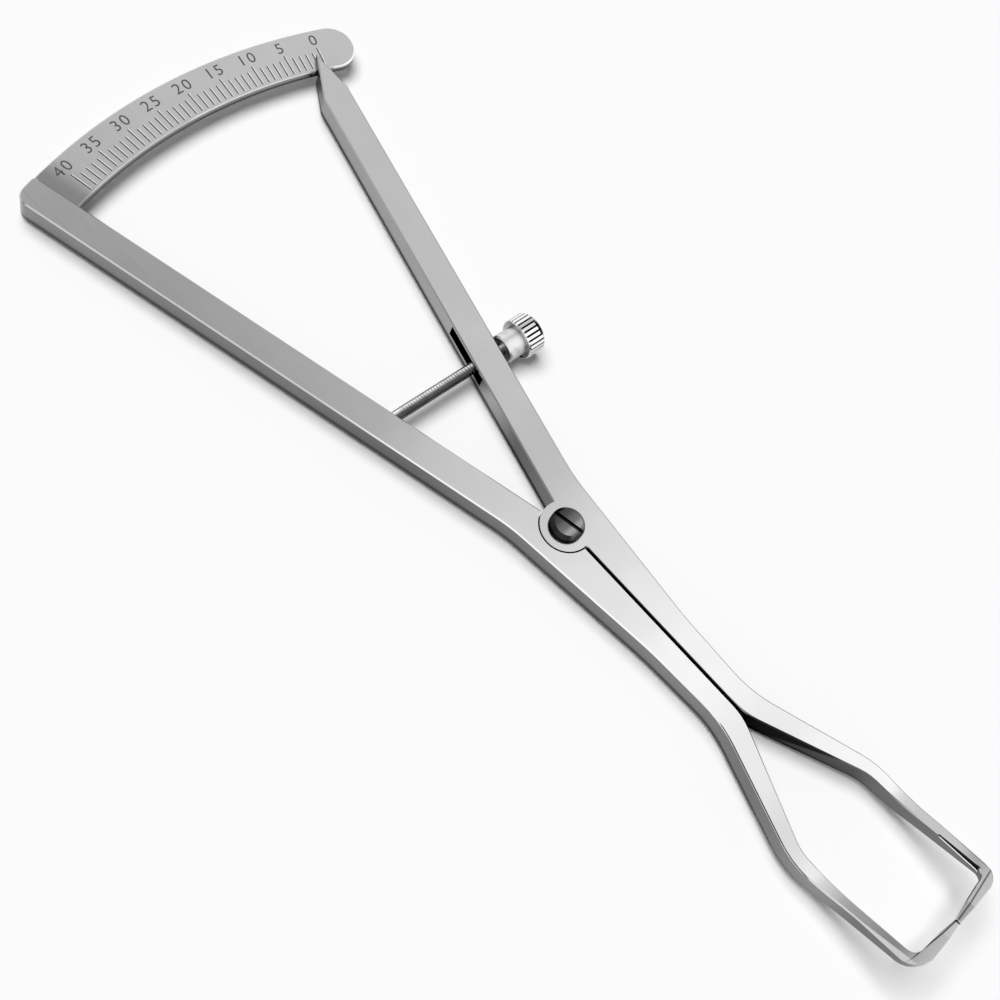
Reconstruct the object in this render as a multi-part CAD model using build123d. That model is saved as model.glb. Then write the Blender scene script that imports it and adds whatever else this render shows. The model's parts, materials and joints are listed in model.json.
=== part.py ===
from build123d import *
import os
from math import asin, atan2, cos, degrees, pi, radians, sin, tan

# Surgical caliper, in millimetres and degrees.
# The pivot axis is the Z axis, and the undersides of both arms lie at Z = 0.
# +X runs from the pivot to the jaw tips, and the moving arm is on the +Y side.
# At rest the jaws are closed and the pointer stands at the zero mark.

# Reach and travel
tip_reach = 76.55            # pivot axis to the line where the tips meet
full_opening = 40.0          # between the tips when the handles are squeezed together

# Bars, the same on both arms
arm_thick = 4.0
edge_break = 0.2             # chamfer along the upper and lower edges
closing_gap = 0.3            # between the handles when they are squeezed together
handle_width_at_end = 4.7
seam_gap = 0.34              # between the two shanks when the jaws are closed
shoulder_x = -5.0            # where a handle's outer edge meets the joint's
shoulder_half_width = 6.75   # centre line to outer edge there
shoulder_curve = 30.0
flank_x = 21.5               # half way down the outer edges of the shanks
flank_half_width = 4.0
flank_curve = 60.0

# Half-lap joint
boss_radius = 4.05
boss_clear = 0.25
lap_clear = 0.04

# Jaws, seen from above
waist_x = 35.4               # narrowest place, where the outer edges turn outwards
waist_half_width = 3.5
waist_curve = 20.0
split_x = 37.0               # where the shanks part
split_curve = 10.0
bow_back = 21.15             # where the jaws turn back along the instrument, from the tips
bow_inner = 8.05
bow_outer = 10.5
bow_inner_curve = 8.0
bow_outer_curve = 14.0
straight_back = 11.55        # from here the two edges run parallel to the elbow
straight_inner = 8.35        # centre line to the inner edge
straight_outer = 9.9
straight_curve = 30.0
elbow_bar = 1.5              # inturned piece at the elbow, half way down it
elbow_inner_curve = 1.6
elbow_outer_curve = 3.2
tip_width = 0.75             # the same at the tip
tip_gap = 0.06

# Jaws, seen from the side
taper_x = 42.0               # where the jaws start to thin
taper_curve = 40.0
rise_back = 16.55            # where the jaw ends are bent up, from the tips
rise_curve = 25.0
rise_angle = 15.5
rise_relief = 0.7            # taken off the underside by there
elbow_height = 2.2
tip_height = 0.9
mouth_lean = 13.0            # inner face of the inturned piece, from square to the bent end
blank_back = 7.55            # the jaws are solid past here until the mouth is cut
blank_lap = 1.5              # the cut starts this far before it
facet_back = 15.5            # where the flat along the upper outer edge runs out
facet_width = 0.55           # the flat at the elbow
facet_slope = 50.0

# Scale plate
scale_inner = 85.3           # pivot axis to the plate's inner edge
plate_width = 7.85
plate_thick = 1.2
plate_drop = 1.3             # plate's upper face below the arms'
plate_bevel = 0.25           # along the inner edge and round the end
zero_angle = 17.8            # zero mark at the pivot, from the centre line
plate_beyond_zero = 2.4      # centre of the plate's rounded end, past the zero mark
tongue_depth = 3.2           # how far the plate is let into the fixed arm
tongue_margin = 1.0          # tongue inside the plate's own edges
rivet_radius = 0.5
rivet_cover = 0.6            # metal left over the blind ends of the rivets
rivet_spacing = 3.0

# Ends of the handles
arm_end_inset = 0.35         # fixed arm's end inside the plate's outer edge
fixed_end_curve = 2.2
fixed_end_inner_curve = 0.6
pointer_overlap = 2.3        # pointer's tip past the plate's inner edge
pointer_short = 0.7          # degrees from the pointer's tip to the zero mark, jaws closed
pointer_length = 8.4
pointer_skew = 1.25          # pointer's outer corner further out than its inner one
pointer_curve = 1.0
pointer_lift = 0.12          # pointer above the plate
pointer_step_clear = 0.4     # arm's lower step from the plate's inner edge

# Pivot screw
head_radius = 2.65
head_taper = 0.55            # head's upper face smaller than its rim
head_height = 1.3
journal_radius = 1.3         # plain part that the moving arm turns on
journal_clear = 0.05
thread_step = 0.2            # thread smaller than the plain part
thread_clear = 0.02
driver_slot_width = 0.65
driver_slot_depth = 0.6
driver_slot_angle = 12.0

# Adjusting rod and its pin
rod_radius = 0.9
rod_drop = 1.5               # rod's axis below the arms' upper faces
rod_lean = 4.3               # rod from square to the centre line, at rest
rod_pin_along = 30.65        # along the fixed handle from the pivot
rod_eye_radius = 1.6
rod_eye_height = 1.7
rod_pin_radius = 0.6
rod_pin_clear = 0.04
rod_pin_cover = 0.2          # metal left over the blind end of the pin
rod_end_chamfer = 0.25
pocket_clear = 0.15          # around the rod and its eye, in both handles
slot_play_near = 1.8         # slot beyond the rod, towards the pivot
slot_play_far = 4.0

# Thrust collar
collar_radius = 2.32
collar_length = 3.05
collar_clear = 0.35          # from the moving handle, which the collar follows at a steady rate
collar_chamfer = 0.25
bore_clear = 0.06

# Thumb nut
nut_radius = 3.26
nut_back_chamfer = 0.22
nut_length = 3.3
nut_chamfer = 0.4
nut_play = 0.05              # between the collar and the nut
nut_recess_radius = 1.75
nut_recess_depth = 0.8
rod_end_inset = 0.5          # rod's end below the nut's outer face
knurl_count = 26
knurl_depth = 0.28
knurl_crest = 0.6            # share of each rib that is not groove

# Angles and places that follow from the sizes above
opening_angle = 2 * degrees(asin(full_opening / 2 / tip_reach))
closing_angle = opening_angle / 2
closing_depth = closing_gap / 2
handle_end_depth = closing_depth + handle_width_at_end
scale_outer = scale_inner + plate_width
fixed_arm_length = scale_outer - arm_end_inset
plate_top = arm_thick - plate_drop
plate_low = plate_top - plate_thick
rod_z = arm_thick - rod_drop
mid_z = arm_thick / 2
tip_outer_x = tip_reach + tip_width / 2
bow_x = tip_reach - bow_back
straight_x = tip_reach - straight_back
rise_x = tip_reach - rise_back
blank_x = tip_reach - blank_back
tall = 5 * arm_thick
wide = 2 * fixed_arm_length


def handle_point(along, depth, side):
    """Point of a handle, along it from the pivot and into it from the closing plane."""
    angle = radians(closing_angle)
    x = -along * cos(angle) + depth * sin(angle)
    y = along * sin(angle) + depth * cos(angle)
    return x, side * y


def handle_place(x, y):
    """Along and depth of a point of the moving handle."""
    angle = radians(closing_angle)
    return -x * cos(angle) + y * sin(angle), x * sin(angle) + y * cos(angle)


def polar_point(radius, angle):
    """Point at a radius from the pivot, with its angle measured from the -X axis."""
    return -radius * cos(radians(angle)), radius * sin(radians(angle))


def rounded_face(corners):
    """Face inside a closed outline of (x, y, radius) corners."""
    edges = []
    ends = []
    for index, (x, y, radius) in enumerate(corners):
        here = Vector(x, y)
        before = Vector(*corners[index - 1][:2])
        after = Vector(*corners[(index + 1) % len(corners)][:2])
        back = (before - here).normalized()
        onward = (after - here).normalized()
        if radius == 0:
            ends.append((here, here))
            continue
        half_turn = radians(back.get_angle(onward)) / 2
        start = here + back * (radius / tan(half_turn))
        end = here + onward * (radius / tan(half_turn))
        middle = here + (back + onward).normalized() * (radius / sin(half_turn) - radius)
        edges.append(ThreePointArc(start, middle, end))
        ends.append((start, end))
    for index, (start, end) in enumerate(ends):
        edges.append(Line(ends[index - 1][1], start))
    return make_face(Curve() + edges)


def prism(face, low, high):
    """Solid over a face, between two heights."""
    return Pos(0, 0, low) * extrude(face, amount=high - low)


def upright(radius, low, high):
    """Cylinder on the pivot axis, between two heights."""
    return Pos(0, 0, low) * Cylinder(radius, high - low, align=(Align.CENTER, Align.CENTER, Align.MIN))


def revolved(*section):
    """Solid turned about Z from (radius, height) points."""
    return revolve(Plane.XZ * make_face(Polyline(*section, close=True)), axis=Axis.Z)


def handle_box(along_from, along_to, depth_from, depth_to, low, high, side):
    """Box lined up with a handle."""
    corners = [
        handle_point(along_from, depth_from, side),
        handle_point(along_to, depth_from, side),
        handle_point(along_to, depth_to, side),
        handle_point(along_from, depth_to, side),
    ]
    return prism(make_face(Polyline(*corners, close=True)), low, high)


# Outline of an arm

shoulder_along, shoulder_depth = handle_place(shoulder_x, shoulder_half_width)
outer_taper = (handle_end_depth - shoulder_depth) / (fixed_arm_length - shoulder_along)


def outer_depth(along):
    """Depth of a handle's outer edge."""
    return shoulder_depth + outer_taper * (along - shoulder_along)


def arm_outline(handle_corners, side):
    """Plan of an arm, solid between the jaws: inner edge, tip, outer edge, then the end of the handle."""
    crotch_y = seam_gap / 2
    crotch_x = -(crotch_y * cos(radians(closing_angle)) - closing_depth) / sin(radians(closing_angle))
    corners = [
        (crotch_x, crotch_y, 0),
        (split_x, crotch_y, split_curve),
        (bow_x, bow_inner, bow_inner_curve),
        (straight_x, straight_inner, straight_curve),
        (blank_x, straight_inner, 0),
        (blank_x, tip_gap / 2, 0),
        (tip_outer_x, tip_gap / 2, 0),
        (tip_outer_x, straight_outer, elbow_outer_curve),
        (straight_x, straight_outer, straight_curve),
        (bow_x, bow_outer, bow_outer_curve),
        (waist_x, waist_half_width, waist_curve),
        (flank_x, flank_half_width, flank_curve),
        (shoulder_x, shoulder_half_width, shoulder_curve),
    ]
    mirrored = [(x, side * y, radius) for x, y, radius in corners]
    return rounded_face(mirrored + handle_corners)


def side_profile():
    """Both arms seen from the side: level to the bow, then thinner and bent up to the tips."""
    slope = tan(radians(rise_angle))
    end_x = tip_reach + elbow_outer_curve
    end_top = arm_thick + slope * (end_x - rise_x)
    corners = [
        (-wide, 0, 0),
        (taper_x, 0, taper_curve),
        (rise_x, rise_relief, rise_curve),
        (end_x, end_top - elbow_height, 0),
        (end_x, end_top, 0),
        (rise_x, arm_thick, rise_curve),
        (-wide, arm_thick, 0),
    ]
    return extrude(Plane.XZ * rounded_face(corners), amount=wide, both=True)


# Bent end of a jaw: X along its slope from the bend, Z = 0 half way down it

bend = radians(rise_angle)
bent_end = Pos(rise_x, 0, arm_thick) * Rot(0, -rise_angle, 0) * Pos(0, 0, -elbow_height / 2)


def bent_along(x):
    """Place of a plan coordinate along the bent end, half way down it."""
    return (x - rise_x - elbow_height / 2 * sin(bend)) / cos(bend)


def mouth_cut(side):
    """Space between the jaws, with a leaning face towards the inturned piece."""
    corners = [
        (bent_along(blank_x - blank_lap), 0, 0),
        (bent_along(tip_outer_x - tip_width), 0, 0),
        (bent_along(tip_outer_x - elbow_bar), straight_inner, elbow_inner_curve),
        (bent_along(blank_x - blank_lap), straight_inner, 0),
    ]
    face = rounded_face([(x, side * y, radius) for x, y, radius in corners])
    leaning = Vector(-tan(radians(mouth_lean)), 0, 1)
    return bent_end * extrude(face, amount=2 * arm_thick, dir=leaning, both=True)


def tip_trim(side):
    """Wedges that thin the inturned piece of a jaw towards its tip."""
    near = tip_height / 2
    far = elbow_height
    corners = [
        (0, near),
        (side * straight_inner, far),
        (side * straight_inner, far + tall),
        (0, far + tall),
    ]
    wedge = Plane.YZ * make_face(Polyline(*corners, close=True))
    upper = extrude(wedge, amount=2 * elbow_outer_curve, both=True)
    return bent_end * Pos(bent_along(tip_reach), 0, 0) * (upper + mirror(upper, about=Plane.XY))


def outer_facet(side):
    """Cut that leaves a flat along the upper outer edge, from the bow to the elbow."""
    start_x = tip_reach - facet_back
    spread = (bow_outer - straight_outer) * (straight_x - start_x) / (straight_x - bow_x)
    end_x = tip_reach - elbow_outer_curve
    turn = degrees(atan2(spread + facet_width, end_x - start_x))
    start = Pos(bent_along(start_x), side * (straight_outer + spread), elbow_height / 2)
    block = Box(wide, 2 * elbow_outer_curve, elbow_outer_curve, align=(Align.MIN, Align.CENTER, Align.MIN))
    return bent_end * start * Rot(0, 0, -side * turn) * Rot(-side * facet_slope, 0, 0) * block


def is_level(face):
    """Whether a face of a bar looks mostly up or down."""
    return abs(face.normal_at().Z) > cos(radians(45))


def arm_bar(handle_corners, side):
    """Whole arm with its edges broken, before its joint is cut."""
    bar = prism(arm_outline(handle_corners, side), -tall, tall) & side_profile()
    bar = bar - tip_trim(side) - mouth_cut(side)
    level_edges = ShapeList([edge for face in bar.faces() if is_level(face) for edge in face.edges()])
    steep_edges = ShapeList([edge for face in bar.faces() if not is_level(face) for edge in face.edges()])
    rims = [edge for edge in level_edges if any(edge.is_same(other) for other in steep_edges)]
    return chamfer(rims, edge_break) - outer_facet(side)


# Rod, slot and pin places

pin_depth = (closing_depth + outer_depth(rod_pin_along)) / 2
pin_x, pin_y = handle_point(rod_pin_along, pin_depth, -1)
rod_swing = rod_lean + closing_angle
rod_direction = Vector(sin(radians(rod_lean)), cos(radians(rod_lean)), 0)
rod_plane = Plane(origin=(pin_x, pin_y, rod_z), x_dir=(0, 0, 1), z_dir=rod_direction)


def rod_crossing(turn, depth):
    """Distance along the rod, and along the moving handle, to a depth of that handle.

    turn is how far the arm has gone, from 0 with the jaws closed to 1 fully open.
    """
    inward = Vector(0, 1, 0).rotate(Axis.Z, opening_angle * turn - closing_angle)
    outward = Vector(-1, 0, 0).rotate(Axis.Z, opening_angle * turn - closing_angle)
    heading = rod_direction.rotate(Axis.Z, rod_swing * turn)
    pin = Vector(pin_x, pin_y, 0)
    distance = (depth - pin.dot(inward)) / heading.dot(inward)
    return distance, (pin + heading * distance).dot(outward)


def on_rod(solid, distance):
    """Solid made along +Z, placed on the rod at a distance from its pin."""
    return rod_plane.location * Pos(0, 0, distance) * solid


rest_outer, rest_outer_along = rod_crossing(0, outer_depth(rod_pin_along))
crossings = [
    rod_crossing(0, closing_depth)[1],
    rest_outer_along,
    rod_crossing(1, closing_depth)[1],
    rod_crossing(1, outer_depth(rod_pin_along))[1],
]
slot_near = min(crossings) - rod_radius - slot_play_near
slot_far = max(crossings) + rod_radius + slot_play_far
slot_low = rod_z - rod_radius - pocket_clear
slot_high = rod_z + rod_radius + pocket_clear
rod_tilt = radians(closing_angle - rod_lean)
collar_start = rest_outer + collar_radius * tan(rod_tilt) + collar_clear
nut_start = collar_start + collar_length + nut_play
rod_end = nut_start + nut_length - rod_end_inset
thread_radius = journal_radius - thread_step


# Fixed arm: lower half of the lap, pocket for the rod's eye, seat for the plate

def rod_pocket():
    eye_room = rod_eye_radius + pocket_clear
    swing = radians(rod_swing)
    rod_room = pin_depth * tan(swing) + rod_radius / cos(swing) + pocket_clear
    near = rod_pin_along - max(rod_room, eye_room)
    far = rod_pin_along + eye_room
    mouth = handle_box(near, far, -closing_gap, pin_depth, slot_low, slot_high, -1)
    return mouth + Pos(pin_x, pin_y, 0) * upright(eye_room, slot_low, slot_high)


def make_fixed_arm():
    handle = [
        (*handle_point(fixed_arm_length, handle_end_depth, -1), fixed_end_curve),
        (*handle_point(fixed_arm_length, closing_depth, -1), fixed_end_inner_curve),
    ]
    arm = arm_bar(handle, -1)
    arm -= upright(boss_radius + boss_clear, mid_z - lap_clear / 2, tall)
    arm += upright(boss_radius, 0, mid_z - lap_clear / 2)
    arm -= upright(thread_radius + thread_clear, -tall, tall)
    arm -= tongue()
    arm -= make_scale_rivets()
    arm -= rod_pocket()
    return arm - make_rod_pin()


# Moving arm: upper half of the lap, slot for the rod, pointer over the plate

def make_moving_arm():
    outer_corner = handle_point(scale_inner + pointer_overlap - pointer_length + pointer_skew,
                                outer_depth(scale_inner), 1)
    inner_corner = handle_point(scale_inner + pointer_overlap - pointer_length, closing_depth, 1)
    handle = [
        (*outer_corner, pointer_curve),
        (*polar_point(scale_inner + pointer_overlap, zero_angle - pointer_short), 0),
        (*inner_corner, pointer_curve),
    ]
    arm = arm_bar(handle, 1)
    arm -= upright(boss_radius + boss_clear, -tall, mid_z + lap_clear / 2)
    arm += upright(boss_radius, mid_z + lap_clear / 2, arm_thick)
    arm -= upright(journal_radius + journal_clear, -tall, tall)
    arm -= handle_box(slot_near, slot_far, -closing_gap, 2 * handle_end_depth, slot_low, slot_high, 1)
    step = upright(wide, -tall, plate_top + pointer_lift)
    step -= upright(scale_inner - pointer_step_clear, -2 * tall, tall)
    return arm - step


# Scale plate, let into the fixed arm and held by two blind rivets

def tongue():
    """Part of the plate inside the fixed arm."""
    return handle_box(scale_inner + tongue_margin, scale_outer - tongue_margin,
                      0, closing_depth + tongue_depth, plate_low, plate_top, -1)


def make_scale_rivets():
    middle = (scale_inner + scale_outer) / 2
    rivets = []
    for offset in (-rivet_spacing / 2, rivet_spacing / 2):
        x, y = handle_point(middle + offset, closing_depth + tongue_depth / 2, -1)
        rivets.append(Pos(x, y, 0) * upright(rivet_radius, 0, arm_thick - rivet_cover))
    return Compound(rivets)


def make_scale_plate():
    middle = (scale_inner + scale_outer) / 2
    end_angle = zero_angle + degrees(plate_beyond_zero / middle)
    start_angle = -closing_angle - degrees(tongue_depth / middle)
    inner = [polar_point(scale_inner, angle) for angle in (start_angle, 0, end_angle)]
    outer = [polar_point(scale_outer, angle) for angle in (start_angle, 0, end_angle)]
    nose = polar_point(middle, end_angle + degrees(plate_width / 2 / middle))
    edges = [
        ThreePointArc(*inner),
        ThreePointArc(inner[2], nose, outer[2]),
        ThreePointArc(*outer),
        Line(outer[0], inner[0]),
    ]
    plate = prism(make_face(Curve() + edges), plate_low, plate_top)
    plate -= handle_box(0, wide, closing_depth, wide, -tall, tall, -1)
    top_edges = plate.faces().sort_by(Axis.Z)[-1].edges().sort_by(SortBy.LENGTH)
    plate = chamfer(top_edges[1:3], plate_bevel)
    return plate + tongue() - make_scale_rivets()


# Pivot screw: the moving arm turns on its plain part, and its thread is in the fixed arm

def make_pivot_screw():
    seat = arm_thick + lap_clear
    top = seat + head_height
    screw = revolved(
        (0, 0),
        (thread_radius, 0),
        (thread_radius, mid_z),
        (journal_radius, mid_z),
        (journal_radius, seat),
        (head_radius, seat),
        (head_radius, seat + head_height / 2),
        (head_radius - head_taper, top),
        (0, top),
    )
    blade = Rot(0, 0, driver_slot_angle) * Box(4 * head_radius, driver_slot_width, 2 * driver_slot_depth)
    return screw - Pos(0, 0, top) * blade


# Adjusting rod with its eye, and the pin that holds it in the fixed arm

def make_rod_pin():
    return Pos(pin_x, pin_y, 0) * upright(rod_pin_radius, 0, arm_thick - rod_pin_cover)


def make_threaded_rod():
    shaft = Cylinder(rod_radius, rod_end, align=(Align.CENTER, Align.CENTER, Align.MIN))
    shaft = chamfer(shaft.edges().sort_by(Axis.Z)[-1], rod_end_chamfer)
    eye = Pos(pin_x, pin_y, rod_z) * Cylinder(rod_eye_radius, rod_eye_height)
    hole = Pos(pin_x, pin_y, 0) * upright(rod_pin_radius + rod_pin_clear, -tall, tall)
    return on_rod(shaft, 0) + eye - hole


# Collar that bears on the moving handle

def make_thrust_collar():
    inner = rod_radius + bore_clear
    sleeve = revolved(
        (inner, 0),
        (collar_radius - collar_chamfer, 0),
        (collar_radius, collar_chamfer),
        (collar_radius, collar_length),
        (inner, collar_length),
    )
    return on_rod(sleeve, collar_start)


# Thumb nut with a straight knurl

def knurled_bar():
    """Bar with the section of the knurl: flat crests with a V groove between each two."""
    pitch = 2 * pi / knurl_count
    groove = (1 + knurl_crest) / 2
    points = []
    for rib in range(knurl_count):
        for share, drop in ((0, 0), (knurl_crest, 0), (groove, knurl_depth)):
            angle = (rib + share) * pitch
            radius = nut_radius - drop
            points.append((radius * cos(angle), radius * sin(angle)))
    return extrude(make_face(Polyline(*points, close=True)), amount=nut_length)


def make_thumb_nut():
    inner = rod_radius + bore_clear
    body = revolved(
        (inner, 0),
        (nut_radius - nut_back_chamfer, 0),
        (nut_radius, nut_back_chamfer),
        (nut_radius, nut_length - nut_chamfer),
        (nut_radius - nut_chamfer, nut_length),
        (nut_recess_radius, nut_length),
        (nut_recess_radius, nut_length - nut_recess_depth),
        (inner, nut_length - nut_recess_depth),
    )
    return on_rod(body & knurled_bar(), nut_start)


pieces = {
    "fixed_arm": make_fixed_arm(),
    "moving_arm": make_moving_arm(),
    "scale_plate": make_scale_plate(),
    "scale_rivets": make_scale_rivets(),
    "pivot_screw": make_pivot_screw(),
    "threaded_rod": make_threaded_rod(),
    "rod_pin": make_rod_pin(),
    "thrust_collar": make_thrust_collar(),
    "thumb_nut": make_thumb_nut(),
}

os.makedirs("parts", exist_ok=True)
for node, piece in pieces.items():
    export_step(piece, f"parts/{node}.step")
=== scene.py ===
import bmesh
import bpy
import json
from math import asin, atan2, pi, radians
from mathutils import Matrix, Vector


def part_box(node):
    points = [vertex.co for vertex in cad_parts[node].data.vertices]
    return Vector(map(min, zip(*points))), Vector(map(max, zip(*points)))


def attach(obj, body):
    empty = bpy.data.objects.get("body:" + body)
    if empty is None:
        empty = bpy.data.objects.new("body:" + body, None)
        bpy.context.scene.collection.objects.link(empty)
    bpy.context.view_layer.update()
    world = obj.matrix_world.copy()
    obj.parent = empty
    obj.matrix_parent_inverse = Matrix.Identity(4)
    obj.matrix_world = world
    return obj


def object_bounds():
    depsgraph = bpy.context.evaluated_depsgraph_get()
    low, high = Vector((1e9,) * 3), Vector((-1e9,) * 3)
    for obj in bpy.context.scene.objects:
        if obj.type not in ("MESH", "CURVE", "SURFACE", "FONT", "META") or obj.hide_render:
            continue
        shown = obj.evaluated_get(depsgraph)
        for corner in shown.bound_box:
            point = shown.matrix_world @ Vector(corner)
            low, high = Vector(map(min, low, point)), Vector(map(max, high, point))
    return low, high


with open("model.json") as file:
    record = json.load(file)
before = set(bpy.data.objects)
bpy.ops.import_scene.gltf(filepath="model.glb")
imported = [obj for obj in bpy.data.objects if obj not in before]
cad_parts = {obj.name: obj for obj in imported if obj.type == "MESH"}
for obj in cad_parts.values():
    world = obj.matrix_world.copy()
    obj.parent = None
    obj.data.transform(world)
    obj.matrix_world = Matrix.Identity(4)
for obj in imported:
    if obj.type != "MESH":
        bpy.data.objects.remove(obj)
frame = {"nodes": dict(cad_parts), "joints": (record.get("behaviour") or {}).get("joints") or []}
cad_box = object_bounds()


# Fixed arm
# A bar of stainless steel, milled flat, bent up at the jaw and satin finished along its length.
# It carries the scale plate at its end and half of the lap joint at its middle.

MM = 0.001                   # the scene is in metres, its Z axis is the pivot, +X runs to the tips
handle_lean = 15.0           # degrees from the centre line to either handle
arm_roughness = 0.18

# Place along X in millimetres, and the grey there, painted as the light and shade that faces, sides and
# front edges show
fixed_face_painted_light = [(-92, 0.86), (-80, 0.82), (-66, 0.76), (-30, 0.75), (-20, 0.93), (6, 0.97), (15, 0.91),
               (28, 1.0), (42, 0.88), (53, 0.76), (61, 0.97), (66, 0.62), (72, 0.44), (77, 0.86)]
fixed_side_painted_shade = [(-92, 0.23), (-74, 0.21), (-57, 0.18), (-42, 0.165), (-25, 0.12), (-5, 0.16), (8, 0.165),
               (28, 0.20), (45, 0.15), (60, 0.22), (68, 0.13), (78, 0.14)]
fixed_front_edge_painted_highlight = [(-92, 0.62), (-40, 0.62), (-18, 0.95), (20, 1.0), (46, 0.90), (60, 0.68), (77, 0.58)]


def mm(*lengths):
    """Lengths in millimetres, as a place or a size in metres."""
    return tuple(length * MM for length in lengths)


def as_colour(grey):
    """A grey from 0 to 1, as a colour."""
    return (grey, grey, grey, 1)


def new_material(name):
    """A material, with its node tree and its shader."""
    material = bpy.data.materials.new(name)
    material.use_nodes = True
    return material, material.node_tree, material.node_tree.nodes["Principled BSDF"]


def feed(tree, source, socket):
    """A socket takes what another node gives, or else a constant."""
    if isinstance(source, bpy.types.NodeSocket):
        tree.links.new(source, socket)
    else:
        socket.default_value = source


def split_axes(tree, vector):
    """X, Y and Z of a vector."""
    split = tree.nodes.new("ShaderNodeSeparateXYZ")
    tree.links.new(vector, split.inputs["Vector"])
    return split.outputs


def worked_out(tree, operation, *numbers):
    """What a sum gives for one or two numbers."""
    step = tree.nodes.new("ShaderNodeMath")
    step.operation = operation
    for number, socket in zip(numbers, step.inputs):
        feed(tree, number, socket)
    return step.outputs["Value"]


def graded(tree, value, start, end, low=0.0, high=1.0, smooth=False):
    """A number that goes from low to high as a value goes from start to end."""
    step = tree.nodes.new("ShaderNodeMapRange")
    if smooth:
        step.interpolation_type = "SMOOTHSTEP"
    step.inputs["From Min"].default_value = start
    step.inputs["From Max"].default_value = end
    step.inputs["To Min"].default_value = low
    step.inputs["To Max"].default_value = high
    tree.links.new(value, step.inputs["Value"])
    return step.outputs["Result"]


def blended(tree, first, second, share):
    """The first colour where the share is 0, and the second where it is 1."""
    mix = tree.nodes.new("ShaderNodeMix")
    mix.data_type = "RGBA"
    feed(tree, first, mix.inputs["A"])
    feed(tree, second, mix.inputs["B"])
    tree.links.new(share, mix.inputs["Factor"])
    return mix.outputs["Result"]


def scaled(tree, colour, factor):
    """A colour made darker or brighter by a factor."""
    step = tree.nodes.new("ShaderNodeVectorMath")
    step.operation = "SCALE"
    tree.links.new(colour, step.inputs["Vector"])
    tree.links.new(factor, step.inputs["Scale"])
    return step.outputs["Vector"]


def spots(tree, vector, size, detail, roughness=0.5):
    """Uneven spots of a size. Their values lie mostly between 0.3 and 0.7."""
    noise = tree.nodes.new("ShaderNodeTexNoise")
    noise.inputs["Scale"].default_value = 1 / size
    noise.inputs["Detail"].default_value = detail
    noise.inputs["Roughness"].default_value = roughness
    tree.links.new(vector, noise.inputs["Vector"])
    return noise.outputs["Fac"]


def spread(tree, noise, low, high):
    """A noise's usual values, spread from low to high."""
    return graded(tree, noise, 0.3, 0.7, low, high)


def tones_along(tree, vector, tones, unit=MM):
    """Greys that change along a vector's X, from a list of places, in a unit, and greys."""
    first = tones[0][0]
    span = max(tones[-1][0] - first, 1)
    ramp = tree.nodes.new("ShaderNodeValToRGB")
    ramp.color_ramp.interpolation = "EASE"
    stops = ramp.color_ramp.elements
    while len(stops) > 1:
        stops.remove(stops[-1])
    stops[0].position = 0.0
    stops[0].color = as_colour(tones[0][1])
    for along, grey in tones[1:]:
        stop = stops.new((along - first) / span)
        stop.color = as_colour(grey)
    share = graded(tree, split_axes(tree, vector)["X"], first * unit, (first + span) * unit)
    tree.links.new(share, ramp.inputs["Fac"])
    return ramp.outputs["Color"]


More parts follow.
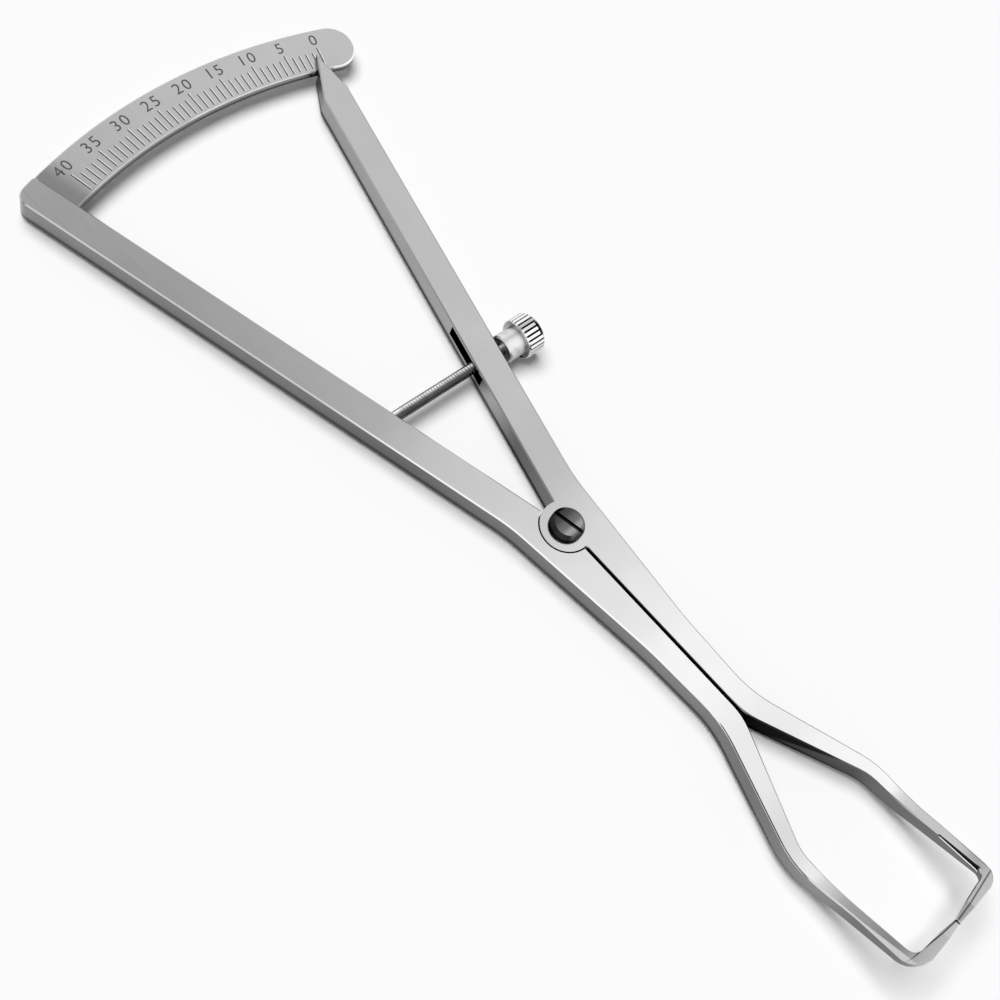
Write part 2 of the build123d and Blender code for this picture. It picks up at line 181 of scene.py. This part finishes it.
def steel_material(name, face_tones, side_tones, roughness, grain_turn, foot=0.0,
                   front_tones=((0, 0.97),), flat_from=0.25, glance=1.0):
    """Satin steel: fine lines along the grain, faint clouds of polish, and sides painted greyer than faces
    as shade.

    Faces and sides take greys along X, painted as the light and shade they show. Sides get more
    painted shade along their lower edge, at the height of foot. Broken edges to the front take the
    painted greys of front_tones, and those to the back a painted shade. A face counts as level from the
    upright share flat_from of its direction. Glance is how bright the steel stays when it is seen
    nearly edge on.
    """
    grain_length = 6 * MM
    grain_width = 0.12 * MM
    grain_depth = 0.004 * MM
    grain_shades = (0.975, 1.01)
    cloud_size = 7 * MM
    cloud_shades = (0.965, 1.02)
    # Painted shade on the sides, darkest along their foot
    foot_dark = 0.54 * MM        # height above the foot up to which a side is darkest
    foot_clear = 1.35 * MM       # height above the foot from which it has its own grey
    foot_shade_share = 0.20            # of the side's grey, where it is darkest
    flat_blend = 0.3             # further upright share from side to face
    edge_from = 0.3              # sideways share at which a broken edge's own tone starts
    edge_whole = 0.5             # sideways share at which it is whole
    back_edge_painted_shade = 0.35
    gloss_change = 0.03
    material, tree, shader = new_material(name)
    shader.inputs["Metallic"].default_value = 1.0
    shader.inputs["Specular Tint"].default_value = as_colour(glance)
    place = tree.nodes.new("ShaderNodeTexCoord")
    on_piece = place.outputs["Object"]
    facing = split_axes(tree, place.outputs["Normal"])

    # Sides are painted greyer than faces that look up or down, as shade, darkest at their foot, and broken
    # edges take their own painted greys
    foot_painted_shade = graded(tree, split_axes(tree, on_piece)["Z"], foot + foot_dark, foot + foot_clear,
                        foot_shade_share, 1.0, smooth=True)
    side = scaled(tree, tones_along(tree, on_piece, side_tones), foot_painted_shade)
    to_front = graded(tree, facing["Y"], -edge_from, -edge_whole)
    to_back = graded(tree, facing["Y"], edge_from, edge_whole)
    face = tones_along(tree, on_piece, face_tones)
    face = blended(tree, face, tones_along(tree, on_piece, front_tones), to_front)
    face = blended(tree, face, as_colour(back_edge_painted_shade), to_back)
    level = graded(tree, worked_out(tree, "ABSOLUTE", facing["Z"]), flat_from, flat_from + flat_blend)
    tone = blended(tree, side, face, level)

    # Fine lines of the grain, then the clouds, over the steel's grey
    along_grain = tree.nodes.new("ShaderNodeMapping")
    along_grain.inputs["Rotation"].default_value = (0, 0, radians(grain_turn))
    along_grain.inputs["Scale"].default_value = (1 / grain_length, 1 / grain_width, 1 / grain_width)
    tree.links.new(on_piece, along_grain.inputs["Vector"])
    grain = spots(tree, along_grain.outputs["Vector"], 1.0, 3.0, 0.6)
    clouds = spots(tree, on_piece, cloud_size, 4.0)
    finish = worked_out(tree, "MULTIPLY", spread(tree, grain, *grain_shades),
                        spread(tree, clouds, *cloud_shades))
    tree.links.new(scaled(tree, tone, finish), shader.inputs["Base Color"])
    gloss = spread(tree, grain, roughness - gloss_change, roughness + gloss_change)
    tree.links.new(gloss, shader.inputs["Roughness"])

    relief = tree.nodes.new("ShaderNodeBump")
    relief.inputs["Strength"].default_value = 0.10
    relief.inputs["Distance"].default_value = grain_depth
    tree.links.new(grain, relief.inputs["Height"])
    tree.links.new(relief.outputs["Normal"], shader.inputs["Normal"])
    return material


def own_place(tree, centre, turn, unit=(1, 1, 1)):
    """Places on the piece, measured from a centre along turned axes, in a unit for each."""
    place = tree.nodes.new("ShaderNodeTexCoord")
    own = tree.nodes.new("ShaderNodeMapping")
    own.vector_type = "TEXTURE"
    own.inputs["Location"].default_value = centre
    own.inputs["Rotation"].default_value = turn
    own.inputs["Scale"].default_value = unit
    tree.links.new(place.outputs["Object"], own.inputs["Vector"])
    return own.outputs["Vector"]


def shade_by(material, factor):
    """The steel's own grey, made darker or brighter by a factor."""
    tree = material.node_tree
    colour = tree.nodes["Principled BSDF"].inputs["Base Color"]
    tree.links.new(scaled(tree, colour.links[0].from_socket, factor), colour)


def patch(material, centre, half_sizes, fade, factor, turn=(0, 0, 0)):
    """Painted shade, or a painted highlight where the factor is above 1: steel darker or brighter by a
    factor in a box, and fading out over a share of the box.
    """
    tree = material.node_tree
    reach = [worked_out(tree, "ABSOLUTE", axis) for axis in
             split_axes(tree, own_place(tree, centre, turn, half_sizes))]
    widest = worked_out(tree, "MAXIMUM", worked_out(tree, "MAXIMUM", reach[0], reach[1]), reach[2])
    shade_by(material, graded(tree, widest, 1.0, 1.0 + fade, factor, 1.0, smooth=True))


def give_material(piece, material):
    """The whole of a piece in one material."""
    piece.data.materials.clear()
    piece.data.materials.append(material)


fixed_steel = steel_material("fixed_arm_satin_steel", fixed_face_painted_light, fixed_side_painted_shade, arm_roughness,
                             -handle_lean / 2, front_tones=fixed_front_edge_painted_highlight)

# The shaded gap between the shanks, on the faces of both arms
seam = {"centre": mm(20.9, 0, 4), "half_sizes": mm(16.4, 0.28, 0.5), "fade": 0.02, "factor": 0.03}
patch(fixed_steel, **seam)

# A line of painted shade along the jaw's top edge
patch(fixed_steel, centre=mm(47, -7, 3.93), half_sizes=mm(11, 5, 0.055), fade=0.1, factor=0.08)

# The inner face of the turned-in end, in its own shade
patch(fixed_steel, centre=mm(75.54, -4, 8), half_sizes=mm(0.06, 3.6, 3), fade=0.8, factor=0.12,
      turn=(0, 0, radians(-9.4)))

# The pocket for the rod, with no light in it
patch(fixed_steel, centre=mm(-28.64, -10.19, 2.5), half_sizes=mm(2.3, 2.05, 1.08), fade=0.02, factor=0.04,
      turn=(0, 0, radians(handle_lean)))
give_material(frame["nodes"]["fixed_arm"], fixed_steel)


# Scale plate
# A thin curved plate of the same steel, let into the fixed arm and held by blind rivets.
# Its grain runs lengthwise, and its marks are etched into the upper face and left dark.

plate_faces = [(0, 0.95)]
# The sides are painted greyer, as shade
plate_side_painted_shade = [(0, 0.30)]
plate_roughness = 0.22
plate_grain = 85             # degrees to the X axis
plate_foot = 1.2 * MM        # height of the plate's underside

plate_steel = steel_material("scale_plate_satin_steel", plate_faces, plate_side_painted_shade, plate_roughness,
                             plate_grain, plate_foot, flat_from=0.70)

# The fixed arm's shade along the plate
patch(plate_steel, centre=mm(-84.5, -21.8, 2), half_sizes=mm(12, 0.4, 2), fade=11, factor=0.55,
      turn=(0, 0, radians(handle_lean)))

# A gleam along the bevel, stronger towards the zero and strongest round the end
patch(plate_steel, centre=mm(-80, 0, 2.62), half_sizes=mm(20, 40, 0.06), fade=0.2, factor=2.1)
patch(plate_steel, centre=mm(-84, 15, 2.62), half_sizes=mm(8, 12, 0.06), fade=0.2, factor=1.35)
patch(plate_steel, centre=mm(-81.5, 31, 2.57), half_sizes=mm(3, 3.6, 0.12), fade=0.06, factor=3.3)
give_material(frame["nodes"]["scale_plate"], plate_steel)
give_material(frame["nodes"]["scale_rivets"], fixed_steel)


# Graduations
# Lines one millimetre of jaw opening apart, every fifth one longer, etched into the plate.
# Each line is etched and left dark, with a thin pale strip beside it painted as the lit lip of the groove.

tip_reach = 76.55 * MM       # pivot axis to the jaw tips, which the scale reads
full_opening = 40            # millimetres between the tips at the last line
zero_angle = radians(17.8)
line_inner = 85.9 * MM
line_outer = 88.8 * MM
fifth_line_outer = 89.6 * MM
line_width = 0.21 * MM
lip_width = 0.12 * MM
line_rise = 0.012 * MM       # marks stand this far above the plate, so that they show
numbered_every = 5
speck_size = 0.25 * MM

plate_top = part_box("scale_plate")[1].z
mark_colour = (0.070, 0.070, 0.073, 1)
lip_highlight_colour = as_colour(0.85)


def scale_turn(opening):
    """Turn that carries a mark drawn along -X to its place, for an opening in millimetres."""
    return Matrix.Rotation(2 * asin(opening * MM / 2 / tip_reach) - zero_angle, 4, "Z")


def add_strip(mesh, outer, sideways, width, turn):
    """Flat strip from the lines' inner radius to an outer one, as a new part of a bmesh."""
    strip = bmesh.ops.create_grid(mesh, x_segments=1, y_segments=1, size=0.5)
    place = Matrix.Translation((-(line_inner + outer) / 2, sideways, plate_top + line_rise))
    stretch = Matrix.Diagonal((outer - line_inner, width, 1, 1))
    bmesh.ops.transform(mesh, matrix=turn @ place @ stretch, verts=strip["verts"])


def etch(name, colour, roughness, least, most):
    """Etched steel: matt, with the specks that an etch leaves, from the least to the most light. It also
    colours the pale strips painted as highlights beside the lines.
    """
    material, tree, shader = new_material(name)
    shader.inputs["Roughness"].default_value = roughness
    place = tree.nodes.new("ShaderNodeTexCoord")
    specks = spots(tree, place.outputs["Object"], speck_size, 2.0)
    tint = tree.nodes.new("ShaderNodeMix")
    tint.data_type = "RGBA"
    tint.blend_type = "MULTIPLY"
    tint.inputs["Factor"].default_value = 1.0
    tint.inputs["A"].default_value = colour
    tree.links.new(spread(tree, specks, least, most), tint.inputs["B"])
    tree.links.new(tint.outputs["Result"], shader.inputs["Base Color"])
    return material


def object_from(name, mesh, *materials):
    """Object at the origin, made from a bmesh."""
    data = bpy.data.meshes.new(name)
    mesh.to_mesh(data)
    mesh.free()
    for material in materials:
        data.materials.append(material)
    made = bpy.data.objects.new(name, data)
    bpy.context.scene.collection.objects.link(made)
    return made


def finish_piece(name, mesh, body, slot, *materials):
    """Piece of the caliper made from a bmesh, riding on a body."""
    piece = object_from(name, mesh, *materials)
    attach(piece, body)


mark_black = etch("etched_mark", mark_colour, roughness=0.7, least=0.6, most=1.6)
lip_highlight = etch("painted_lip_highlight", lip_highlight_colour, roughness=0.5, least=0.85, most=1.1)

lines = bmesh.new()
lip_highlights = bmesh.new()
for opening in range(full_opening + 1):
    outer = fifth_line_outer if opening % numbered_every == 0 else line_outer
    add_strip(lines, outer, 0, line_width, scale_turn(opening))
    add_strip(lip_highlights, outer, (line_width + lip_width) / 2, lip_width, scale_turn(opening))
finish_piece("scale_lines", lines, "frame_body", "plate_steel", mark_black)
finish_piece("scale_line_lip_highlights", lip_highlights, "frame_body", "plate_steel", lip_highlight)


# Numbers
# Plain numbers beyond every fifth line, etched together with the lines and left as dark.
# Their feet are towards the pivot, so that they read upright from the jaws.

number_height = 1.75 * MM
number_middle = 91.05 * MM   # pivot axis to the middle of a number
number_thinning = 0.006 * MM
letter_size = 1.62           # of a letter's frame, as a share of a number's height
letter_spacing = 1.22

# A number is drawn upright on the page, so its top turns to -X before it goes to its place
upright_to_plate = Matrix.Rotation(pi / 2, 4, "Z")
number_place = Matrix.Translation((-number_middle, 0, plate_top + line_rise))

for opening in range(0, full_opening + 1, numbered_every):
    curve = bpy.data.curves.new(f"number_{opening}", "FONT")
    curve.body = str(opening)
    curve.size = number_height * letter_size
    curve.space_character = letter_spacing
    curve.align_x = "CENTER"
    curve.align_y = "CENTER"
    curve.offset = -number_thinning
    curve.resolution_u = 3
    lettering = bpy.data.objects.new(f"lettering_{opening}", curve)
    bpy.context.scene.collection.objects.link(lettering)
    bpy.context.view_layer.update()
    number = bmesh.new()
    number.from_mesh(bpy.data.meshes.new_from_object(lettering))
    bpy.data.objects.remove(lettering)
    to_plate = scale_turn(opening) @ number_place @ upright_to_plate
    bmesh.ops.transform(number, matrix=to_plate, verts=number.verts)
    finish_piece(f"scale_number_{opening}", number, "frame_body", "plate_steel", mark_black)


# Pivot screw
# A low screw with a tapered head and one driver slot, turned from steel bar. Its head is painted dark as
# shade at its rim and sides, and lighter to one side as a highlight.
# Its plain journal is the hinge of the lap joint, and its foot holds in the fixed arm.

screw_face_painted_light = [(-2.6, 0.02), (-1.4, 0.09), (0.2, 0.22), (1.2, 0.50), (2.4, 0.06)]
screw_side_painted_shade = [(0, 0.03)]
screw_roughness = 0.30
screw_grain = 12             # degrees to the X axis
screw_glance = 0.3

screw_steel = steel_material("pivot_screw_steel", screw_face_painted_light, screw_side_painted_shade, screw_roughness, screw_grain,
                             front_tones=screw_side_painted_shade, glance=screw_glance)
give_material(frame["nodes"]["pivot_screw"], screw_steel)


# Moving arm
# The other bar, of the same steel and finish, ground to a pointer at the end of its handle.
# Its handle is slotted for the rod, and its half of the lap joint lies over the fixed arm's.

# Place along X in millimetres, and the grey there, painted as the light and shade that faces, sides and
# front edges show
moving_face_painted_light = [(-90, 0.95), (-35, 0.93), (-20, 0.86), (-10, 0.79), (5, 0.93), (15, 0.93), (30, 0.97),
                (42, 0.88), (50, 0.95), (62, 1.0), (70, 0.99), (73.5, 0.66), (76, 0.88), (78, 0.88)]
moving_side_painted_shade = [(-90, 0.42), (-75, 0.42), (-50, 0.43), (-30, 0.46), (-22, 0.43), (-14, 0.16), (0, 0.235),
                (30, 0.05), (45, 0.09), (52, 0.13), (58, 0.17), (74, 0.20), (76, 0.30)]
moving_front_edge_painted_light = [(-92, 0.52), (-20, 0.55), (33, 0.75), (38, 0.12), (58, 0.14), (66, 0.60), (77, 0.75)]
moving_glance = 0.45
elbow_rise = radians(-9.5)   # slope of the jaw at the elbow

moving_steel = steel_material("moving_arm_satin_steel", moving_face_painted_light, moving_side_painted_shade, arm_roughness,
                              handle_lean / 2, front_tones=moving_front_edge_painted_light, glance=moving_glance)
patch(moving_steel, **seam)

# Painted shade on the upper part of the shank's inner side, past the seam
patch(moving_steel, centre=mm(42.67, 2.60, 4.69), half_sizes=mm(7.5, 0.16, 3), fade=0.25, factor=0.22,
      turn=(0, radians(-17.5), radians(23.2)))

# The inner face of the turned-in end, in its own shade
patch(moving_steel, centre=mm(75.95, 4, 8), half_sizes=mm(0.08, 4.2, 3), fade=0.8, factor=0.3,
      turn=(0, 0, radians(5.5)))

# The inside of the elbow: painted shade under the upper edge, with a painted highlight below
patch(moving_steel, centre=mm(70.9, 8.34, 7.0), half_sizes=mm(3.3, 0.15, 0.6), fade=0.1, factor=0.05,
      turn=(0, elbow_rise, 0))
patch(moving_steel, centre=mm(71.2, 8.34, 6.3), half_sizes=mm(3.0, 0.15, 0.13), fade=0.2, factor=9.0,
      turn=(0, elbow_rise, 0))

# The slot for the rod, with no light in it
patch(moving_steel, centre=mm(-28.95, 10.54, 2.5), half_sizes=mm(4.95, 2.35, 1.08), fade=0.02, factor=0.03,
      turn=(0, 0, radians(-handle_lean)))
give_material(frame["nodes"]["moving_arm"], moving_steel)


# Rod and its pin
# A round steel rod with a flat eye, which swings on a pin in the fixed handle.
# Its grey is painted in bands along it, a bright highlight between darker shade, and its thread is drawn
# as a low ridge wound round it.

rod_roughness = 0.16
rod_radius = 0.9 * MM
thread_rise = 0.045 * MM
thread_pitch = 0.5 * MM
thread_start = 4.4 * MM      # rod's own pivot to the first turn
thread_turns = 49
steps_per_turn = 20
# The ridge's slope towards the fixed arm is painted darker, as shade
thread_shade_share = 0.62    # of the rod's grey, on the slope that faces the fixed arm
wear_size = 1.5 * MM
wear_shades = (0.75, 1.10)

# Rise at the two ends of each slope of the ridge, and their places as shares of the pitch
thread_slopes = [(0, thread_rise, 0.0, 0.2), (thread_rise, 0, 0.2, 0.4)]

# Grey against the X of the surface's direction, painted as a highlight band and shade bands along the rod
rod_painted_bands = [(-1.0, 0.04), (-0.85, 0.07), (-0.66, 0.30), (-0.50, 1.0), (-0.1, 1.0), (0.08, 0.40),
             (0.22, 0.10), (1.0, 0.08)]

# The rod's own pivot and its direction, from the joints
joints = {joint["name"]: joint for joint in frame["joints"]}
rod_foot = Vector(joints["rod_swing"]["pos_m"])
rod_line = Vector(joints["nut_spin"]["axis"])
rod_turn = (0, 0, -atan2(rod_line.x, rod_line.y))


def round_steel(name, share, bands, roughness):
    """Polished steel with bands of painted highlight and shade along a round piece, at a share of their
    grey.
    """
    material, tree, shader = new_material(name)
    shader.inputs["Metallic"].default_value = 1.0
    shader.inputs["Roughness"].default_value = roughness
    place = tree.nodes.new("ShaderNodeTexCoord")
    wear = spots(tree, place.outputs["Object"], wear_size, 3.0)
    banded = tones_along(tree, place.outputs["Normal"], bands, unit=1)
    shades = [shade * share for shade in wear_shades]
    worn = scaled(tree, banded, spread(tree, wear, *shades))
    tree.links.new(worn, shader.inputs["Base Color"])
    return material


rod_steel = round_steel("rod_polished_steel", 1.0, rod_painted_bands, rod_roughness)
thread_painted_shade = round_steel("rod_thread_painted_shade", thread_shade_share, rod_painted_bands, rod_roughness)
give_material(frame["nodes"]["threaded_rod"], rod_steel)
give_material(frame["nodes"]["rod_pin"], rod_steel)

# Each slope of the ridge is an edge wound upwards round the Z axis, and then laid along the rod
ridge = bmesh.new()
for slope, (low_rise, high_rise, from_share, to_share) in enumerate(thread_slopes):
    profile = [ridge.verts.new((rod_radius + low_rise, 0, from_share * thread_pitch)),
               ridge.verts.new((rod_radius + high_rise, 0, to_share * thread_pitch))]
    edge = ridge.edges.new(profile)
    before = set(ridge.faces)
    bmesh.ops.spin(ridge, geom=profile + [edge], cent=(0, 0, 0), axis=(0, 0, 1),
                   dvec=(0, 0, thread_pitch / steps_per_turn), angle=2 * pi * thread_turns,
                   steps=thread_turns * steps_per_turn)
    for face in set(ridge.faces) - before:
        face.material_index = slope
bmesh.ops.recalc_face_normals(ridge, faces=ridge.faces)
along_rod = rod_line.to_track_quat("Z", "Y").to_matrix().to_4x4()
to_rod = Matrix.Translation(rod_foot + rod_line * thread_start) @ along_rod
bmesh.ops.transform(ridge, matrix=to_rod, verts=ridge.verts)
finish_piece("rod_thread", ridge, "rod_body", "rod_steel", thread_painted_shade, rod_steel)


# Thrust collar
# A sleeve turned from steel, which bears on the moving handle and carries the nut.
# It is painted bright with a highlight band and greyer shade to either side, with fine turned lines round
# it.

collar_painted_bands = [(-1.0, 0.45), (-0.6, 0.70), (-0.2, 1.0), (0.5, 1.0), (0.7, 0.70), (1.0, 0.45)]
# The collar's painted bands are made brighter than the rod's, as a stronger highlight
collar_share = 1.35          # of the bands' grey, because the collar is brighter than the rod
collar_roughness = 0.38
collar_along = 25.618 * MM   # rod's own pivot to the middle of the collar
collar_line_pitch = 0.3 * MM
collar_line_share = 0.5      # of the pitch
collar_line_grey = 0.55


def ring_lines(material, centre, turn, pitch, share, grey):
    """Fine turned lines round an axis along Y: a share of each pitch is darker."""
    tree = material.node_tree
    turns = split_axes(tree, own_place(tree, centre, turn, (pitch, pitch, pitch)))["Y"]
    shade_by(material, graded(tree, worked_out(tree, "FRACT", turns), 0.0, share, grey, 1.0))


collar_steel = round_steel("collar_bright_steel", collar_share, collar_painted_bands, collar_roughness)
ring_lines(collar_steel, rod_foot + rod_line * collar_along, rod_turn, collar_line_pitch,
           collar_line_share, collar_line_grey)
give_material(frame["nodes"]["thrust_collar"], collar_steel)


# Thumb nut
# A round nut with straight knurling, turned from steel and plated bright, next to the collar.
# Turning it on the rod opens and closes the jaws.

nut_faces = [(0, 0.98)]
# The sides are painted greyer, as shade
nut_side_painted_shade = [(0, 0.55)]
nut_roughness = 0.16
nut_grain = 85.5             # degrees to the X axis
nut_along = 28.777 * MM      # rod's own pivot to the middle of the knurl
knurl_half_length = 1.4 * MM
groove_floor = 3.17 * MM     # radius at which a groove is darkest
groove_top = 3.25 * MM       # radius at which a rib is bright
groove_shade_grey = 0.02


def dark_grooves(material, centre, turn):
    """Knurling: painted shade between its ribs, and steel left as it is past its two ends."""
    tree = material.node_tree
    across, along, up = split_axes(tree, own_place(tree, centre, turn))
    squares = [worked_out(tree, "MULTIPLY", axis, axis) for axis in (across, up)]
    radius = worked_out(tree, "SQRT", worked_out(tree, "ADD", *squares))
    depth = graded(tree, radius, groove_floor, groove_top, groove_shade_grey, 1.0)
    past_end = worked_out(tree, "GREATER_THAN", worked_out(tree, "ABSOLUTE", along), knurl_half_length)
    shade_by(material, worked_out(tree, "MAXIMUM", depth, past_end))


nut_steel = steel_material("nut_bright_steel", nut_faces, nut_side_painted_shade, nut_roughness, nut_grain)
dark_grooves(nut_steel, rod_foot + rod_line * nut_along, rod_turn)

# Painted shade at the edge of the recess in the nut's outer end
patch(nut_steel, centre=mm(-25.65, 19.50, 5.25), half_sizes=mm(0.90, 0.46, 0.60), fade=0.15, factor=0.01,
      turn=rod_turn)
give_material(frame["nodes"]["thumb_nut"], nut_steel)


# Floor
# A pale matt sheet that the caliper lies on, well past the edges of the picture.
# It meets the underside of the lowest piece, and takes the shadows.

floor_size = 1.2
floor_colour = as_colour(0.92)

floor_white, _, floor_shader = new_material("floor_white")
floor_shader.inputs["Base Color"].default_value = floor_colour
floor_shader.inputs["Roughness"].default_value = 1.0
floor_shader.inputs["Specular IOR Level"].default_value = 0.0
floor_sheet = bmesh.new()
bmesh.ops.create_grid(floor_sheet, x_segments=1, y_segments=1, size=floor_size / 2)
bmesh.ops.translate(floor_sheet, vec=(0, 0, cad_box[0][2]), verts=floor_sheet.verts)
object_from("floor", floor_sheet, floor_white)


# World and lamps
# A pale room, lighter behind the scale and brightest to the right, as metal and camera see it.
# The same room lights the floor only faintly, so that the shadows stay under the bars.

room_grey = 0.38
back_glow = 0.17
front_glow = 0.60
wall_grey = 0.96
room_light = 0.16            # light that the room gives to matt surfaces

# Share of the direction at which a glow starts, and at which it is whole, along X or Y
back_rise = (0.34, 0.42)
front_rise = (-0.60, -0.85)
front_side_rise = (-0.40, -0.15)

# The same along X, and how strong the glow is: middle, right and left
side_glows = [(-0.30, -0.08, 0.12), (-0.10, 0.02, 0.33), (-0.52, -0.66, 0.40)]

key_strength = 2.95
key_spread = radians(44)
key_from = Vector((-0.32, -0.03, 0.95))

world = bpy.data.worlds.new("pale_room")
world.use_nodes = True
bpy.context.scene.world = world
sky = world.node_tree
heading = split_axes(sky, sky.nodes.new("ShaderNodeTexCoord").outputs["Generated"])
glow = graded(sky, heading["Y"], *back_rise, room_grey, room_grey + back_glow, smooth=True)
for start, end, strength in side_glows:
    glow = worked_out(sky, "ADD", glow, graded(sky, heading["X"], start, end, 0.0, strength, smooth=True))
front = graded(sky, heading["Y"], *front_rise, 0.0, front_glow, smooth=True)
front_side = graded(sky, heading["X"], *front_side_rise, smooth=True)
glow = worked_out(sky, "ADD", glow, worked_out(sky, "MULTIPLY", front, front_side))
glow.node.use_clamp = True

# Glossy and see-through rays meet the room as metal shows it, and matt surfaces its faint light
ray = sky.nodes.new("ShaderNodeLightPath").outputs
mirrored = worked_out(sky, "MAXIMUM", ray["Is Glossy Ray"], ray["Is Transmission Ray"])
room = blended(sky, as_colour(room_light), glow, mirrored)

# Past the floor the camera meets a plain pale wall
wall = blended(sky, room, as_colour(wall_grey), ray["Is Camera Ray"])
background = sky.nodes["Background"]
background.inputs["Strength"].default_value = 1.0
sky.links.new(wall, background.inputs["Color"])

key = bpy.data.lights.new("key_light", "SUN")
key.energy = key_strength
key.angle = key_spread
key_lamp = bpy.data.objects.new("key_light", key)
bpy.context.scene.collection.objects.link(key_lamp)
key_lamp.rotation_euler = key_from.to_track_quat("Z", "Y").to_euler()
key_lamp.visible_glossy = False


# Camera
# The photograph's own angle, worked out from the plate's arc, the pivot and the jaw tips.
# Its turn is given by the directions of its right side, its top and its back.

camera_place = Vector((0.01874, -0.10216, 0.1958))
camera_right = Vector((0.6782, 0.6906, 0.2513))
camera_up = Vector((-0.7236, 0.5677, 0.3926))
camera_back = Vector((0.1285, -0.4481, 0.8847))

camera_data = bpy.data.cameras.new("camera")
camera_data.lens = 54.0
camera_data.sensor_width = 36.0
camera_data.clip_start = 0.005
camera = bpy.data.objects.new("camera", camera_data)
bpy.context.scene.collection.objects.link(camera)
camera_turn = Matrix((camera_right, camera_up, camera_back)).transposed()
camera.matrix_world = Matrix.Translation(camera_place) @ camera_turn.to_4x4()
bpy.context.scene.camera = camera
bpy.context.scene.view_settings.view_transform = "Standard"
